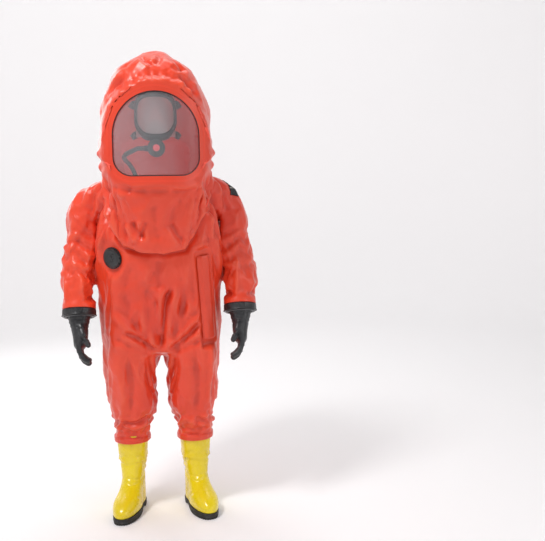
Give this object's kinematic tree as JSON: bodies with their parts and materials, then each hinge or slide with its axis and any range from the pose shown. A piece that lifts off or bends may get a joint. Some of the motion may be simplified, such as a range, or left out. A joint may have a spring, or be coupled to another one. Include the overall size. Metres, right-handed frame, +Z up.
{
  "type": "gas-tight chemical protective suit",
  "caption": "One-piece hooded chemical suit with curved visor, back hump, face mask, cuffed gloves, covered zip, exhaust valve and joined boots.",
  "frame": {"origin": "on the floor, at the centre of the outline", "axes": "+Z up; the visor and boot toes face -Y; the wearer's right side is -X"},
  "size_m": [0.782, 0.7533, 1.92],
  "materials": {
    "suit_fabric": "satin coated fabric, orange red",
    "visor_clear": "clear plastic sheet",
    "seal_rubber": "matt black rubber",
    "glove_rubber": "matt black rubber",
    "boot_rubber": "glossy yellow rubber",
    "sole_rubber": "matt black rubber",
    "black_plastic": "fine-grained black plastic",
    "grey_plastic": "grey plastic",
    "red_plastic": "glossy red plastic",
    "webbing": "black webbing",
    "patch_cloth": "black cloth with pale stripes",
    "zip_metal": "satin metal",
    "steel": "brushed",
    "insole_felt": "grey felt"
  },
  "bodies": {
    "body": {"torso_shell": "suit_fabric", "hood_shell": "suit_fabric", "chest_bib": "suit_fabric", "visor_lens": "visor_clear", "visor_rim": "suit_fabric", "visor_seal": "seal_rubber", "hump_shell": "suit_fabric", "hanger_loop": "webbing", "right_leg_shell": "suit_fabric", "left_leg_shell": "suit_fabric", "zip_tape": "webbing", "zip_teeth": "zip_metal", "flap_loop_strip": "webbing", "valve_housing": "black_plastic", "valve_gasket": "seal_rubber", "valve_nut": "black_plastic", "support_belt": "webbing", "belt_buckle": "black_plastic", "support_braces": "webbing", "mask_facepiece": "seal_rubber", "mask_lens": "visor_clear", "mask_rim": "black_plastic", "mask_nose_cup": "seal_rubber", "mask_head_net": "webbing", "demand_valve": "black_plastic", "air_hose": "seal_rubber", "hose_coupling": "zip_metal"},
    "zip_slider": {"zip_slider": "steel"},
    "zip_flap": {"zip_flap": "suit_fabric", "flap_hook_strip": "webbing"},
    "valve_cap": {"valve_cap": "black_plastic"},
    "valve_diaphragm": {"valve_diaphragm": "seal_rubber"},
    "purge_button": {"purge_button": "red_plastic"},
    "right_upper_arm": {"right_upper_sleeve": "suit_fabric"},
    "right_forearm": {"right_lower_sleeve": "suit_fabric", "right_cuff_ring": "black_plastic", "right_cuff_clasp": "steel"},
    "right_hand": {"right_glove_ring": "grey_plastic", "right_glove": "glove_rubber"},
    "right_shin": {"right_shin_shell": "suit_fabric", "right_boot_band": "suit_fabric", "right_boot_upper": "boot_rubber", "right_boot_sole": "sole_rubber", "right_insole": "insole_felt"},
    "left_upper_arm": {"left_upper_sleeve": "suit_fabric", "shoulder_patch": "patch_cloth"},
    "left_forearm": {"left_lower_sleeve": "suit_fabric", "left_cuff_ring": "black_plastic", "left_cuff_clasp": "steel"},
    "left_hand": {"left_glove_ring": "grey_plastic", "left_glove": "glove_rubber"},
    "left_shin": {"left_shin_shell": "suit_fabric", "left_boot_band": "suit_fabric", "left_boot_upper": "boot_rubber", "left_boot_sole": "sole_rubber", "left_insole": "insole_felt"}
  },
  "joints": [
    {"name": "right_shoulder", "type": "hinge", "parent": "body", "child": "right_upper_arm", "pos_m": [-0.285, 0, 1.32], "axis": [-1, 0, 0], "range_deg": [-20, 90]},
    {"name": "right_elbow", "type": "hinge", "parent": "right_upper_arm", "child": "right_forearm", "pos_m": [-0.326, -0.05, 1.11], "axis": [-1, 0, 0], "range_deg": [0, 60]},
    {"name": "right_glove_swivel", "type": "hinge", "parent": "right_forearm", "child": "right_hand", "pos_m": [-0.322, -0.116, 0.868], "axis": [0, 0.2756, 0.9613], "range_deg": [-45, 45]},
    {"name": "right_knee", "type": "hinge", "parent": "body", "child": "right_shin", "pos_m": [-0.132, 0.015, 0.47], "axis": [1, 0, 0], "range_deg": [0, 60]},
    {"name": "left_shoulder", "type": "hinge", "parent": "body", "child": "left_upper_arm", "pos_m": [0.285, 0, 1.32], "axis": [-1, 0, 0], "range_deg": [-20, 90]},
    {"name": "left_elbow", "type": "hinge", "parent": "left_upper_arm", "child": "left_forearm", "pos_m": [0.326, -0.05, 1.11], "axis": [-1, 0, 0], "range_deg": [0, 60]},
    {"name": "left_glove_swivel", "type": "hinge", "parent": "left_forearm", "child": "left_hand", "pos_m": [0.322, -0.116, 0.868], "axis": [0, 0.2756, 0.9613], "range_deg": [-45, 45]},
    {"name": "left_knee", "type": "hinge", "parent": "body", "child": "left_shin", "pos_m": [0.132, 0.015, 0.47], "axis": [1, 0, 0], "range_deg": [0, 60]},
    {"name": "zip_flap_hinge", "type": "hinge", "parent": "body", "child": "zip_flap", "pos_m": [0.1677, -0.148, 0.74626], "axis": [0.0678, 0.2079, -0.9758], "range_deg": [0, 110]},
    {"name": "zip_travel", "type": "slide", "parent": "body", "child": "zip_slider", "axis": [0.0678, 0.2079, -0.9758], "range_m": [0, 0.29]},
    {"name": "valve_cap_turn", "type": "hinge", "parent": "body", "child": "valve_cap", "pos_m": [-0.178, -0.196, 1.09], "axis": [-0.5846, -0.8046, -0.1045], "range_deg": [0, 60]},
    {"name": "valve_diaphragm_lift", "type": "slide", "parent": "body", "child": "valve_diaphragm", "axis": [-0.5846, -0.8046, -0.1045], "range_m": [0, 0.002], "stiffness_N_per_m": 200},
    {"name": "purge_button_press", "type": "slide", "parent": "body", "child": "purge_button", "axis": [0, 1, 0], "range_m": [0, 0.003], "stiffness_N_per_m": 400}
  ]
}
